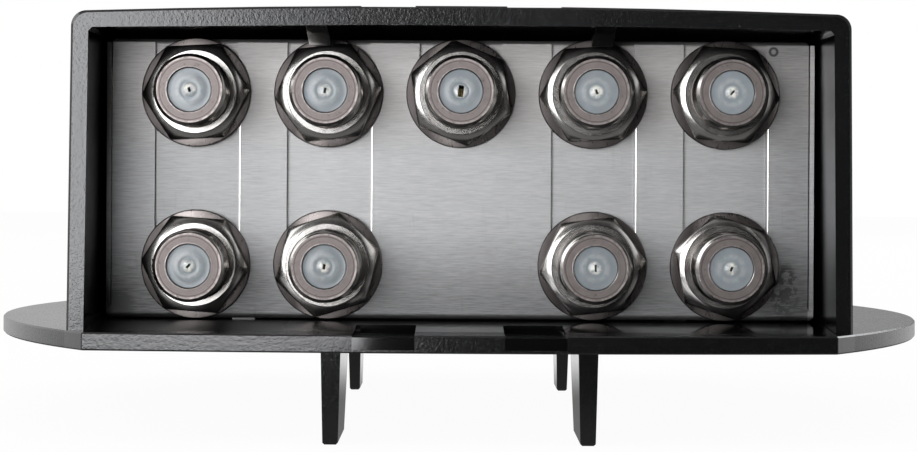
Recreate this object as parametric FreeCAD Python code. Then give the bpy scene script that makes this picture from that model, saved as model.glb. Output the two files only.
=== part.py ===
"""An outdoor coaxial splitter: nine screw-on sockets in a folded metal case, held in a moulded weather hood.

Millimetres. +X is to the right seen from the sockets, +Y runs from the sockets to the back, +Z is up.
The origin is midway between the ends and the sides, at the tips of the four fins that the part stands on.
"""

import FreeCAD, Part
import math
import os

Vector = FreeCAD.Vector

# Sockets: 3/8 inch thread, a washer and a chamfered hex nut in front of the sheet
column_pitch = 17.7
columns = 5
row_spacing = 23.0
socket_reach = 11.0
thread_diameter = 9.5
thread_root_diameter = 9.1
thread_end = 0.4
tip_face_diameter = 8.6
tip_chamfer = 0.35
socket_bore_diameter = 5.8
hole_gap = 0.1
flange_diameter = 12.4
flange_thickness = 1.4
tail_diameter = 8.0
tail_length = 3.0
tail_bore_diameter = 3.4
washer_diameter = 14.6
washer_thickness = 0.5
nut_across_flats = 12.5
nut_height = 2.5
nut_collar_diameter = 11.1
nut_collar_height = 0.35
nut_chamfer_angle = 30.0

# Where each nut came to rest: degrees from the right to its first corner
nut_turns = {
    "top": (3.0, 6.0, 38.0, 3.0, 56.0),
    "bottom": (56.0, 17.0, None, 7.0, 42.0),
}

# Insulator and the two-leaved spring inside each socket
fit_gap = 0.04
insulator_recess = 0.35
insulator_length = 9.0
boss_diameter = 3.0
boss_height = 0.25
slit_width = 0.45
slit_height = 1.2
guide_wall = 0.9
leaf_thickness = 0.25
leaf_width = 1.2
leaf_spread = 1.3
leaf_grip = 0.5
pin_width = 0.6
pin_height = 0.8
pin_overhang = 3.6

# Circuit boards, one level with each row of sockets, hung from the frame's roof
board_thickness = 1.6
board_length = 70.0
board_side_gap = 1.55
board_front_gap = 0.3
board_back_gap = 5.8
pin_seat_gap = 0.05
pillar_across_flats = 5.0
pillar_bore_diameter = 3.0
pillar_inset = 5.0
stud_diameter = 2.9
stud_length = 4.5
board_hole_diameter = 3.2
screw_head_diameter = 5.5
screw_head_height = 1.6
screw_head_bevel = 0.5
screw_length = 5.0
bore_end_gap = 1.0
drive_depth = 0.8
drive_width = 0.8
drive_length = 3.2

# Components on the boards
chip_width = 4.0
chip_length = 5.0
chip_height = 1.5
chip_setback = 17.0
choke_width = 4.0
choke_height = 4.5
choke_flange = 0.9
choke_winding_diameter = 2.8
part_gap = 0.75
capacitor_width = 1.25
capacitor_length = 2.0
capacitor_height = 0.9
capacitor_setback = 7.0
controller_width = 7.5
controller_length = 12.8
controller_height = 2.3
regulator_width = 6.6
regulator_length = 6.1
regulator_height = 2.3
reservoir_diameter = 6.3
reservoir_height = 5.6
reservoir_base = 0.8
reservoir_offset = 28.3
output_choke_diameter = 8.0
output_choke_height = 5.5
output_choke_bevel = 0.7
link_pins_count = 6
link_pin_pitch = 2.54
link_pin_width = 0.64
link_pin_overhang = 1.0
link_strip_width = 2.5
link_strip_height = 2.5
link_inset = 18.0

# Folded case: an outer pan that closes an inner frame from below
sheet = 0.6
bend_inner_radius = 0.15
sheet_gap = 0.05
case_side_margin = 12.0
case_row_margin = 7.2
finger_drop = 0.5
slot_gap = 0.8
corner_seam = 0.2
seam_end = 0.7

# Tunnel of the hood
hood_setback = 8.4
case_recess = 15.6
hood_back_room = 15.4
hood_rear_setback = 21.6
case_side_gap = 1.0
case_roof_gap = 0.65
hood_side_lean = 0.4
hood_crown = 0.8
ceiling_crown = 0.5
hood_wall = 2.25
hood_roof = 2.15
hood_corner_radius = 2.0
hood_back_radius = 6.0
hood_draft = 0.5
hood_lip_bevel = 0.3
cavity_corner_bevel = 0.5

# Rails, guides, stops and catches inside the tunnel
rail_height = 1.0
rail_width = 3.0
rail_spread = 58.0
guide_gap = 0.15
guide_setback = 12.0
stop_thickness = 2.2
stop_height = 24.6
catch_drop = 1.6
catch_spread = 37.4
catch_width = 2.8
catch_gap = 0.1
root_depth = 0.6

# Base plate with its ears and fins
plate_bow = 3.2
plate_thickness = 2.3
ear_overhang = 16.35
plate_corner_inset = 2.65
plate_corner_radius = 0.3
plate_edge_bevel = 0.2
ear_hole_diameter = 5.0
ear_hole_offset = 4.35
fin_height = 11.6
fin_taper = 0.3
fin_tip_bevel = 0.25
front_fin_gap = 30.0
front_fin_thickness = 2.55
front_fin_root_length = 28.5
front_fin_tip_length = 20.5
front_fin_setback = 1.2
rear_fin_gap = 31.0
rear_fin_thickness = 2.2
rear_fin_root_length = 20.0
rear_fin_tip_length = 13.0
rear_fin_setback = 31.0

# Strap slots, with the smooth channels that lead to them
slot_inner = 5.9
slot_width = 7.0
slot_length = 7.1
slot_from_front = 10.7
channel_margin = 0.7
channel_inner_margin = 0.2
channel_depth = 0.3
roof_channel_depth = 0.15
roof_channel_length = 26.0

# A cutter reaches so far past the piece that it cuts; edges are found by place to within a hair, and rounded
# surfaces are sewn up to within the seam tolerance
past = 1.0
hair = 0.01
seam_tolerance = 0.000001

# Sizes that follow, from the sockets out to the plate
bend_radius = sheet + bend_inner_radius
pin_top = pin_height / 2 + pin_seat_gap
pillar_setback = chip_setback + chip_length / 2 + part_gap + pillar_across_flats / 2
choke_setback = pillar_setback + pillar_across_flats / 2 + part_gap + choke_width / 2
board_setback = sheet + sheet_gap + sheet + flange_thickness + tail_length + board_front_gap
case_width = (columns - 1) * column_pitch + 2 * case_side_margin
case_height = row_spacing + 2 * case_row_margin
case_depth = board_setback + board_length + board_back_gap + sheet + sheet_gap + sheet
board_width = case_width - 2 * (sheet + sheet_gap + sheet + board_side_gap)
hood_bottom_width = case_width + 2 * (case_side_gap + hood_wall)
hood_top_width = hood_bottom_width - 2 * hood_side_lean
hood_side_height = rail_height + case_height + case_roof_gap + hood_roof
hood_length = case_recess + case_depth + hood_back_room
plate_length = hood_setback + hood_length + hood_rear_setback
ear_reach = hood_bottom_width / 2 + ear_overhang
plate_corner_x = hood_bottom_width / 2 - plate_corner_inset
plate_corner_y = plate_length / 2 - plate_bow

# Places that follow
floor_z = fin_height + plate_thickness
hood_front = hood_setback - plate_length / 2
hood_back = hood_front + hood_length
ceiling_z = floor_z + hood_side_height - hood_roof
case_front = hood_front + case_recess
case_back = case_front + case_depth
case_bottom = floor_z + rail_height
case_top = case_bottom + case_height
row_z = {
    "top": case_top - case_row_margin,
    "bottom": case_bottom + case_row_margin,
}
frame_front = case_front + sheet + sheet_gap
flange_front = frame_front + sheet
tail_back = flange_front + flange_thickness + tail_length
tip_y = case_front - socket_reach
insulator_front = tip_y + insulator_recess
insulator_back = insulator_front + insulator_length
nut_front = case_front - washer_thickness - nut_height
board_front = case_front + board_setback
link_y = board_front + board_length - link_inset
board_top = {row: z - pin_top for row, z in row_z.items()}


def box(x0, x1, y0, y1, z0, z1):
    return Part.makeBox(x1 - x0, y1 - y0, z1 - z0, Vector(x0, y0, z0))


def line(a, b):
    return Part.LineSegment(a, b).toShape()


def arc(a, middle, b):
    return Part.Arc(a, middle, b).toShape()


def cylinder_along_y(radius, y0, y1, x, z):
    return Part.makeCylinder(radius, y1 - y0, Vector(x, y0, z), Vector(0, 1, 0))


def turned(outline, x, z):
    """A solid turned about the Y axis through x, z, from (radius, y) corners."""
    corners = [Vector(x + radius, y, z) for radius, y in outline]
    face = Part.Face(Part.makePolygon(corners + corners[:1]))
    return face.revolve(Vector(x, 0, z), Vector(0, 1, 0), 360)


def hexagon(across_flats, height, base, axis, turn):
    """A hex prism from base along axis, its first corner turned by so many degrees."""
    rotation = FreeCAD.Rotation(Vector(0, 0, 1), axis)
    corners = []
    for corner in range(7):
        angle = math.radians(turn + 60 * corner)
        reach = across_flats / math.sqrt(3)
        flat = Vector(reach * math.cos(angle), reach * math.sin(angle), 0)
        corners.append(base + rotation.multVec(flat))
    return Part.Face(Part.makePolygon(corners)).extrude(axis * height)


def mirrored_x(shape):
    return shape.mirror(Vector(0, 0, 0), Vector(1, 0, 0))


def both_sides(shape):
    return [shape, mirrored_x(shape)]


def edges_where(shape, test):
    """Edges whose middle point passes the test."""
    found = []
    for edge in shape.Edges:
        middle = edge.valueAt((edge.FirstParameter + edge.LastParameter) / 2)
        if test(middle, edge):
            found.append(edge)
    return found


def column_x(column):
    return (column - (columns - 1) / 2) * column_pitch


def sockets():
    """Row, column and centre of each socket: the bottom row leaves the middle column free."""
    places = []
    for row in ("top", "bottom"):
        for column in range(columns):
            if row == "top" or column != columns // 2:
                places.append((row, column, column_x(column), row_z[row]))
    return places


def base_plate():
    """A barrel-shaped plate: bowed ends and wide round ears at the sides."""
    y, z = plate_corner_y, fin_height
    corner_x, end_y = plate_corner_x, plate_length / 2
    edges = [
        arc(Vector(-corner_x, -y, z), Vector(0, -end_y, z), Vector(corner_x, -y, z)),
        arc(Vector(corner_x, -y, z), Vector(ear_reach, 0, z), Vector(corner_x, y, z)),
        arc(Vector(corner_x, y, z), Vector(0, end_y, z), Vector(-corner_x, y, z)),
        arc(Vector(-corner_x, y, z), Vector(-ear_reach, 0, z), Vector(-corner_x, -y, z)),
    ]
    plate = Part.Face(Part.Wire(edges)).extrude(Vector(0, 0, plate_thickness))
    plate = plate.makeFillet(plate_corner_radius, edges_where(plate, lambda p, e: is_upright(e)))
    rims = edges_where(plate, lambda p, e: not is_upright(e))
    return plate.makeChamfer(plate_edge_bevel, rims)


def is_upright(edge):
    first, last = edge.firstVertex().Point, edge.lastVertex().Point
    return abs(first.z - last.z) > hair


def tunnel_outline(y, bottom_width, top_width, side_height, crown, corner):
    """The front view of the tunnel: upright sides, rounded corners and a slightly crowned roof."""
    low, high = bottom_width / 2, top_width / 2
    top = floor_z + side_height
    low_z = floor_z - plate_thickness / 2
    turn = corner * math.sin(math.pi / 4)
    bend_x, bend_z = high - corner + turn, top - corner + turn
    roof_middle = Vector(0, y, top + crown)
    if crown:
        roof = arc(Vector(high - corner, y, top), roof_middle, Vector(corner - high, y, top))
    else:
        roof = line(Vector(high - corner, y, top), Vector(corner - high, y, top))
    edges = [
        line(Vector(-low, y, low_z), Vector(low, y, low_z)),
        line(Vector(low, y, low_z), Vector(high, y, top - corner)),
        arc(Vector(high, y, top - corner), Vector(bend_x, y, bend_z), Vector(high - corner, y, top)),
        roof,
        arc(Vector(corner - high, y, top), Vector(-bend_x, y, bend_z), Vector(-high, y, top - corner)),
        line(Vector(-high, y, top - corner), Vector(-low, y, low_z)),
    ]
    return Part.Wire(edges)


def tunnel():
    """The outside of the tunnel: a bevelled lip, a slight taper to the back and well rounded back edges."""

    def section(y, inset):
        return tunnel_outline(
            y,
            hood_bottom_width - 2 * inset,
            hood_top_width - 2 * inset,
            hood_side_height - inset,
            hood_crown,
            hood_corner_radius,
        )

    lip_back = hood_front + hood_lip_bevel
    lip = Part.makeLoft([section(hood_front, hood_lip_bevel), section(lip_back, 0)], True, True)
    outside = Part.makeLoft([section(lip_back, 0), section(hood_back, hood_draft)], True, True)
    back_edges = edges_where(
        outside, lambda p, e: abs(p.y - hood_back) < hair and p.z > floor_z - root_depth
    )
    rounded = outside.makeFillet(hood_back_radius, back_edges)
    rounded.fix(seam_tolerance, seam_tolerance, hair)
    return rounded.fuse(lip)


def cavity():
    """The room inside the tunnel: flat floor, crowned ceiling, straight walls, narrower at its very back."""
    lean = hood_side_lean * plate_thickness / hood_side_height

    def section(y, inset):
        low = hood_bottom_width / 2 - hood_wall + lean - inset
        high = hood_top_width / 2 - hood_wall - inset
        top = ceiling_z - inset
        corners = [
            Vector(cavity_corner_bevel - high, y, top),
            Vector(-high, y, top - cavity_corner_bevel),
            Vector(-low, y, floor_z),
            Vector(low, y, floor_z),
            Vector(high, y, top - cavity_corner_bevel),
            Vector(high - cavity_corner_bevel, y, top),
        ]
        ceiling = arc(corners[-1], Vector(0, y, top + ceiling_crown), corners[0])
        return Part.Wire(Part.makePolygon(corners).Edges + [ceiling])

    back = hood_back - hood_wall - hood_draft
    narrowing = hood_back_radius - hood_wall
    shoulder = section(back - narrowing, 0)
    room = Part.makeLoft([section(hood_front - past, 0), shoulder], True, True)
    return room.fuse(Part.makeLoft([shoulder, section(back, narrowing)], True, True))


def fin(inner, thickness, root_start, root_length, tip_start, tip_length):
    """One mast fin on the right: it narrows towards its tip in both views."""

    def section(z, x, y, thickness, length):
        ring = [
            Vector(x, y, z),
            Vector(x + thickness, y, z),
            Vector(x + thickness, y + length, z),
            Vector(x, y + length, z),
        ]
        return Part.makePolygon(ring + ring[:1])

    root = section(fin_height + plate_thickness / 2, inner, root_start, thickness, root_length)
    tip = section(0, inner + fin_taper, tip_start, thickness - 2 * fin_taper, tip_length)
    body = Part.makeLoft([root, tip], True, True)
    tip_edges = edges_where(body, lambda p, e: abs(p.z) < hair)
    return body.makeChamfer(fin_tip_bevel, tip_edges)


def fins():
    front_start = front_fin_setback - plate_length / 2
    front = fin(
        front_fin_gap / 2,
        front_fin_thickness,
        front_start,
        front_fin_root_length,
        front_start,
        front_fin_tip_length,
    )
    overhang = (rear_fin_root_length - rear_fin_tip_length) / 2
    tip_start = plate_length / 2 - rear_fin_setback - rear_fin_tip_length
    rear = fin(
        rear_fin_gap / 2,
        rear_fin_thickness,
        tip_start - overhang,
        rear_fin_root_length,
        tip_start,
        rear_fin_tip_length,
    )
    return both_sides(front) + both_sides(rear)


def strap_slots():
    """Two pairs of square slots for the mast straps, one pair in front and one behind the tunnel."""
    cuts = []
    start = slot_from_front - plate_length / 2
    for y in (start, -start - slot_length):
        slot = box(
            slot_inner, slot_inner + slot_width, y, y + slot_length, fin_height - past, floor_z + past
        )
        cuts += both_sides(slot)
    return cuts


def channels():
    """Shallow smooth channels in front of the front slots and over the roof in line with them."""
    x0 = slot_inner - channel_inner_margin
    x1 = slot_inner + slot_width + channel_margin
    start = -plate_length / 2 - past
    slot_front = slot_from_front - plate_length / 2
    floor = box(x0, x1, start, slot_front, floor_z - channel_depth, floor_z + past)
    roof_top = floor_z + hood_side_height + hood_crown
    roof = box(
        slot_inner,
        slot_inner + slot_width,
        start,
        hood_front + roof_channel_length,
        roof_top - roof_channel_depth - hood_crown * (slot_inner * 2 / hood_top_width) ** 2,
        roof_top + past,
    )
    return both_sides(floor) + both_sides(roof)


def ear_holes():
    hole = Part.makeCylinder(
        ear_hole_diameter / 2,
        plate_thickness + 2 * past,
        Vector(hood_bottom_width / 2 + ear_hole_offset, 0, fin_height - past),
    )
    return both_sides(hole)


def rails():
    """Two low rails on the floor that the case stands on."""
    x0 = rail_spread / 2 - rail_width / 2
    rail = box(x0, x0 + rail_width, case_front + sheet, case_back, floor_z - root_depth, case_bottom)
    return both_sides(rail)


def side_guides():
    """Slim ribs on the side walls that keep the case in the middle."""
    half_case = case_width / 2 + guide_gap
    half_room = hood_bottom_width / 2 - hood_wall + root_depth
    middle = case_bottom + case_height / 2
    guide = box(
        half_case,
        half_room,
        case_front + guide_setback,
        case_back,
        middle - rail_width / 2,
        middle + rail_width / 2,
    )
    return both_sides(guide)


def back_stops():
    """Upright ribs on the back wall that the case is pushed against."""
    x0 = rail_spread / 2 - stop_thickness / 2
    stop = box(
        x0, x0 + stop_thickness, case_back, hood_back - hood_wall - hood_draft + root_depth,
        floor_z - root_depth, floor_z + stop_height,
    )
    return both_sides(stop)


def catches():
    """Two ramps on the ceiling that snap in front of the nuts once the case is pushed in past them."""
    face = nut_front - catch_gap
    low = ceiling_z - catch_drop
    x0 = catch_spread / 2 - catch_width / 2
    crown_z = ceiling_z + ceiling_crown
    profile = [
        Vector(x0, face, crown_z + root_depth),
        Vector(x0, face, low),
        Vector(x0, face - catch_width / 2, low),
        Vector(x0, hood_front + hood_lip_bevel, crown_z),
        Vector(x0, hood_front + hood_lip_bevel, crown_z + root_depth),
    ]
    catch = Part.Face(Part.makePolygon(profile + profile[:1])).extrude(Vector(catch_width, 0, 0))
    return both_sides(catch)


def weather_hood():
    """Plate, tunnel, fins, rails, guides, stops and catches, moulded in one piece."""
    shell = base_plate().fuse(tunnel()).cut(cavity())
    added = fins() + rails() + side_guides() + back_stops() + catches()
    shell = shell.fuse(added)
    shell = shell.cut(strap_slots() + channels() + ear_holes())
    return shell.removeSplitter()


def open_pan(width, depth, low, high, y, closed_below):
    """A pan folded from one sheet: a plate with four upright walls, rounded along its folds."""
    half = width / 2
    outside = box(-half, half, y, y + depth, low, high)
    plate_z = low if closed_below else high
    folds = edges_where(outside, lambda p, e: abs(p.z - plate_z) < hair)
    outside = outside.makeFillet(bend_radius, folds)
    inner_low = low + sheet if closed_below else low - past
    inner_high = high + past if closed_below else high - sheet
    inside = box(-half + sheet, half - sheet, y + sheet, y + depth - sheet, inner_low, inner_high)
    inner_z = inner_low if closed_below else inner_high
    inner_folds = edges_where(inside, lambda p, e: abs(p.z - inner_z) < hair)
    inside = inside.makeFillet(bend_radius - sheet, inner_folds)
    return outside.cut(inside)


def corner_seams(width, depth, low, high, y):
    """The open seams at the ends of the front and back walls; each ends a little short of the fold."""
    cuts = []
    outer_x = width / 2 - sheet
    for y0, y1 in ((y - past, y + sheet), (y + depth - sheet, y + depth + past)):
        cuts += both_sides(box(outer_x - corner_seam, outer_x, y0, y1, low, high))
    return cuts


def socket_slot(x, lowest_z):
    """A slot open at the top, its round end below the lowest socket of its column."""
    radius = thread_diameter / 2 + slot_gap
    wall_back = case_front + sheet + sheet_gap / 2
    round_end = cylinder_along_y(radius, case_front - past, wall_back, x, lowest_z)
    straight = box(x - radius, x + radius, case_front - past, wall_back, lowest_z, case_top + past)
    return [round_end, straight]


def case_pan():
    """The outer pan: it slides up over the sockets, which pass its five open slots."""
    high = case_top - finger_drop
    pan = open_pan(case_width, case_depth, case_bottom, high, case_front, True)
    seam_low = case_bottom + bend_radius + seam_end
    cuts = corner_seams(case_width, case_depth, seam_low, high + past, case_front)
    for column in range(columns):
        lowest = row_z["top"] if column == columns // 2 else row_z["bottom"]
        cuts += socket_slot(column_x(column), lowest)
    return pan.cut(cuts)


def case_frame():
    """The inner pan, open below: its front wall carries the sockets and its roof the boards."""
    inset = sheet + sheet_gap
    low = case_bottom + bend_radius + sheet_gap
    width = case_width - 2 * inset
    depth = case_depth - 2 * inset
    frame = open_pan(width, depth, low, case_top, frame_front, False)
    cuts = corner_seams(width, depth, low - past, case_top - bend_radius - seam_end, frame_front)
    for row, column, x, z in sockets():
        hole = thread_diameter / 2 + hole_gap
        cuts.append(cylinder_along_y(hole, frame_front - past, flange_front + past, x, z))
    return frame.cut(cuts)


def socket_body(x, z):
    """The turned barrel: it ends in an inner flange and a tail; inside its nut the thread's root is shown."""
    thread, root = thread_diameter / 2, thread_root_diameter / 2
    bore, tail_bore = socket_bore_diameter / 2, tail_bore_diameter / 2
    flange_back = flange_front + flange_thickness
    outline = [
        (bore, tip_y),
        (tip_face_diameter / 2, tip_y),
        (thread, tip_y + tip_chamfer),
        (thread, nut_front - thread_end),
        (root, nut_front - thread_end),
        (root, flange_front),
        (flange_diameter / 2, flange_front),
        (flange_diameter / 2, flange_back),
        (tail_diameter / 2, flange_back),
        (tail_diameter / 2, tail_back),
        (tail_bore, tail_back),
        (tail_bore, insulator_back + fit_gap),
        (bore, insulator_back + fit_gap),
    ]
    return turned(outline, x, z)


def socket_insulator(x, z):
    """The plastic plug that fills the barrel, with a boss round the slit that the cable's wire enters."""
    outer = socket_bore_diameter / 2 - fit_gap
    boss = boss_diameter / 2
    outline = [
        (0, insulator_front - boss_height),
        (boss, insulator_front - boss_height),
        (boss, insulator_front),
        (outer, insulator_front),
        (outer, insulator_back),
        (0, insulator_back),
    ]
    plug = turned(outline, x, z)
    room_x = leaf_spread / 2 + leaf_thickness + fit_gap
    room_z = leaf_width / 2 + fit_gap
    room = box(
        x - room_x, x + room_x, insulator_front + guide_wall, insulator_back + past, z - room_z, z + room_z
    )
    slit = box(
        x - slit_width / 2, x + slit_width / 2, insulator_front - past, insulator_front + guide_wall + past,
        z - slit_height / 2, z + slit_height / 2,
    )
    return plug.cut([room, slit])


def socket_contact(x, z):
    """Two bent spring leaves that grip the cable's wire, joined at the back to the pin over the board."""
    front = insulator_front + guide_wall + fit_gap
    heel = insulator_back - leaf_thickness
    wide, narrow = leaf_spread / 2, leaf_grip / 2
    throat = front + (heel - front) / 3
    half = [
        Vector(0, heel, z),
        Vector(wide, heel, z),
        Vector(narrow, throat, z),
        Vector(wide, front, z),
        Vector(wide + leaf_thickness, front, z),
        Vector(narrow + leaf_thickness, throat, z),
        Vector(wide + leaf_thickness, heel, z),
        Vector(wide + leaf_thickness, insulator_back, z),
    ]
    other_half = [Vector(-point.x, point.y, z) for point in reversed(half[1:])]
    outline = [point + Vector(x, 0, -leaf_width / 2) for point in half + other_half]
    leaves = Part.Face(Part.makePolygon(outline + outline[:1])).extrude(Vector(0, 0, leaf_width))
    pin = box(
        x - pin_width / 2, x + pin_width / 2, heel, tail_back + board_front_gap + pin_overhang,
        z - pin_height / 2, z + pin_height / 2,
    )
    return leaves.fuse(pin)


def socket_washer(x, z):
    outer = washer_diameter / 2
    inner = thread_diameter / 2 + hole_gap
    front = case_front - washer_thickness
    return turned([(inner, front), (outer, front), (outer, case_front), (inner, case_front)], x, z)


def socket_nut(x, z, turn):
    """A hex nut whose corners fall away from a round collar on its outer face."""
    back = case_front - washer_thickness
    collar = nut_collar_diameter / 2
    reach = nut_across_flats / math.sqrt(3)
    drop = (reach - collar) * math.tan(math.radians(nut_chamfer_angle))
    shoulder = nut_front + nut_collar_height
    inner = thread_root_diameter / 2 + fit_gap
    outline = [
        (inner, nut_front),
        (collar, nut_front),
        (collar, shoulder),
        (reach, shoulder + drop),
        (reach, back),
        (inner, back),
    ]
    blank = turned(outline, x, z)
    prism = hexagon(nut_across_flats, nut_height, Vector(x, back, z), Vector(0, -1, 0), turn)
    return blank.common(prism)


def pillar_places():
    """The four places where the boards hang from the frame's roof."""
    x = board_width / 2 - pillar_inset
    near = board_front + pillar_setback
    far = board_front + board_length - pillar_inset
    return [(side * x, y) for y in (near, far) for side in (-1, 1)]


def circuit_board(row):
    z = board_top[row] - board_thickness
    board = box(
        -board_width / 2, board_width / 2, board_front, board_front + board_length, z, board_top[row]
    )
    holes = []
    for x, y in pillar_places():
        holes.append(
            Part.makeCylinder(board_hole_diameter / 2, board_thickness + 2 * past, Vector(x, y, z - past))
        )
    for x in link_columns():
        half = link_pin_width / 2 + fit_gap
        holes.append(
            box(x - half, x + half, link_y - half, link_y + half, z - past, board_top[row] + past)
        )
    return board.cut(holes)


def pillar(x, y, low, high, studded):
    """A hex pillar with a threaded bore; the long ones end in a stud that passes the upper board."""
    post = hexagon(pillar_across_flats, high - low, Vector(x, y, low), Vector(0, 0, 1), 0)
    bore = Part.makeCylinder(pillar_bore_diameter / 2, screw_length + bore_end_gap, Vector(x, y, low))
    post = post.cut(bore)
    if studded:
        post = post.fuse(Part.makeCylinder(stud_diameter / 2, stud_length, Vector(x, y, high)))
    return post


def roof_pillars():
    low, high = board_top["top"], case_top - sheet
    return [pillar(x, y, low, high, False) for x, y in pillar_places()]


def board_pillars():
    low, high = board_top["bottom"], board_top["top"] - board_thickness
    return [pillar(x, y, low, high, True) for x, y in pillar_places()]


def board_screws():
    """Pan-head screws that hold the lower board against the long pillars."""
    screws = []
    seat = board_top["bottom"] - board_thickness
    low = seat - screw_head_height
    for x, y in pillar_places():
        head = Part.makeCylinder(screw_head_diameter / 2, screw_head_height, Vector(x, y, low))
        rim = edges_where(head, lambda p, e: p.z < low + hair)
        head = head.makeChamfer(screw_head_bevel, rim)
        shank = Part.makeCylinder(stud_diameter / 2, screw_length, Vector(x, y, seat))
        cross = []
        for long_x, long_y in ((drive_length, drive_width), (drive_width, drive_length)):
            cross.append(
                box(
                    x - long_x / 2, x + long_x / 2, y - long_y / 2, y + long_y / 2, low - past, low + drive_depth
                )
            )
        screws.append(head.fuse(shank).cut(cross))
    return screws


def link_columns():
    return [(pin - (link_pins_count - 1) / 2) * link_pin_pitch for pin in range(link_pins_count)]


def link_pins():
    """Square pins that carry the control lines from one board to the other."""
    pins = []
    half = link_pin_width / 2
    low = board_top["bottom"] - board_thickness - link_pin_overhang
    high = board_top["top"] + link_pin_overhang
    for x in link_columns():
        pins.append(box(x - half, x + half, link_y - half, link_y + half, low, high))
    return pins


def link_strips():
    """The plastic strips that space the link pins, one on the lower and one under the upper board."""
    strips = []
    reach = link_pins_count * link_pin_pitch / 2
    side = link_strip_width / 2
    for low in (board_top["bottom"], board_top["top"] - board_thickness - link_strip_height):
        high = low + link_strip_height
        strip = box(-reach, reach, link_y - side, link_y + side, low, high)
        half = link_pin_width / 2 + fit_gap
        holes = [
            box(x - half, x + half, link_y - half, link_y + half, low - past, high + past)
            for x in link_columns()
        ]
        strips.append(strip.cut(holes))
    return strips


def on_board(row, x, y, width, length, height):
    """A block lying on a board, centred at x and y."""
    z = board_top[row]
    return box(x - width / 2, x + width / 2, y - length / 2, y + length / 2, z, z + height)


def input_places():
    """Every socket but the one in the middle is an input."""
    return [(row, x) for row, column, x, z in sockets() if column != columns // 2]


def coupling_capacitors():
    return [
        on_board(
            row, x, board_front + capacitor_setback, capacitor_width, capacitor_length, capacitor_height
        )
        for row, column, x, z in sockets()
    ]


def switch_chips():
    return [
        on_board(row, x, board_front + chip_setback, chip_width, chip_length, chip_height)
        for row, x in input_places()
    ]


def feed_chokes():
    """Small wound bobbins, one for each input: a round winding between two square flanges."""
    chokes = []
    y = board_front + choke_setback
    for row, x in input_places():
        low = on_board(row, x, y, choke_width, choke_width, choke_flange)
        high = low.translated(Vector(0, 0, choke_height - choke_flange))
        winding = Part.makeCylinder(
            choke_winding_diameter / 2,
            choke_height - 2 * choke_flange,
            Vector(x, y, board_top[row] + choke_flange),
        )
        chokes.append(winding.fuse([low, high]))
    return chokes


def output_choke():
    centre = Vector(0, board_front + chip_setback, board_top["top"])
    drum = Part.makeCylinder(output_choke_diameter / 2, output_choke_height, centre)
    rim = edges_where(drum, lambda p, e: p.z > centre.z + output_choke_height - hair)
    return drum.makeChamfer(output_choke_bevel, rim)


def controller_chip():
    return on_board("top", -column_pitch, link_y, controller_width, controller_length, controller_height)


def voltage_regulator():
    return on_board("top", column_pitch, link_y, regulator_width, regulator_length, regulator_height)


def reservoir_capacitor():
    """A round can on a square moulded base."""
    x = reservoir_offset
    foot = on_board("top", x, link_y, reservoir_diameter, reservoir_diameter, reservoir_base)
    centre = Vector(x, link_y, board_top["top"] + reservoir_base)
    can = Part.makeCylinder(reservoir_diameter / 2 - fit_gap, reservoir_height - reservoir_base, centre)
    return foot.fuse(can)


def write(name, solids):
    shape = Part.makeCompound(solids) if isinstance(solids, list) else solids
    shape.exportStep("parts/" + name + ".step")


def main():
    os.makedirs("parts", exist_ok=True)
    write("weather_hood", weather_hood())
    write("case_pan", case_pan())
    write("case_frame", case_frame())
    washers = []
    nuts = []
    for row, column, x, z in sockets():
        name = row + "_" + str(column + 1)
        write("socket_" + name, socket_body(x, z))
        write("insulator_" + name, socket_insulator(x, z))
        write("contact_" + name, socket_contact(x, z))
        washers.append(socket_washer(x, z))
        nuts.append(socket_nut(x, z, nut_turns[row][column]))
    write("socket_washers", washers)
    write("socket_nuts", nuts)
    write("upper_board", circuit_board("top"))
    write("lower_board", circuit_board("bottom"))
    write("roof_pillars", roof_pillars())
    write("board_pillars", board_pillars())
    write("board_screws", board_screws())
    write("link_pins", link_pins())
    write("link_strips", link_strips())
    write("coupling_capacitors", coupling_capacitors())
    write("switch_chips", switch_chips())
    write("feed_chokes", feed_chokes())
    write("output_choke", output_choke())
    write("controller_chip", controller_chip())
    write("voltage_regulator", voltage_regulator())
    write("reservoir_capacitor", reservoir_capacitor())


main()
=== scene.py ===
"""Dresses the outdoor coaxial splitter with finishes, cut threads and soft edges; then light and camera.

Metres, in the frame of the solids: +X right seen from the sockets, +Y from the sockets to the back, +Z up.
"""

import math

import bmesh
import bpy
from mathutils import Matrix, Vector


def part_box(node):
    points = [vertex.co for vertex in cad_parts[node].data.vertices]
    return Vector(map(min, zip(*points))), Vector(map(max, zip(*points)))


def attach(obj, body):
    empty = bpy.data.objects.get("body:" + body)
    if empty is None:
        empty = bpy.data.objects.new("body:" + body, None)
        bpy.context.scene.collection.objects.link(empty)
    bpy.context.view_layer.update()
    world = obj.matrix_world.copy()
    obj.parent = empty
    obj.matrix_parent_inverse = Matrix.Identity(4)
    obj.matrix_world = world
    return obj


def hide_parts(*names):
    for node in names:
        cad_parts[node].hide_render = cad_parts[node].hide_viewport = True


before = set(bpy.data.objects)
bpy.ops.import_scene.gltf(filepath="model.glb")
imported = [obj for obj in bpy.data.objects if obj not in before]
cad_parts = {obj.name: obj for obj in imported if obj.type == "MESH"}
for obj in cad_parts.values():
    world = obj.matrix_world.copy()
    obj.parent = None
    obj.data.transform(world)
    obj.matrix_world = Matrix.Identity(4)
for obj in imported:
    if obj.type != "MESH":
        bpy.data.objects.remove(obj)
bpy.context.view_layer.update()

MM = 0.001

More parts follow.
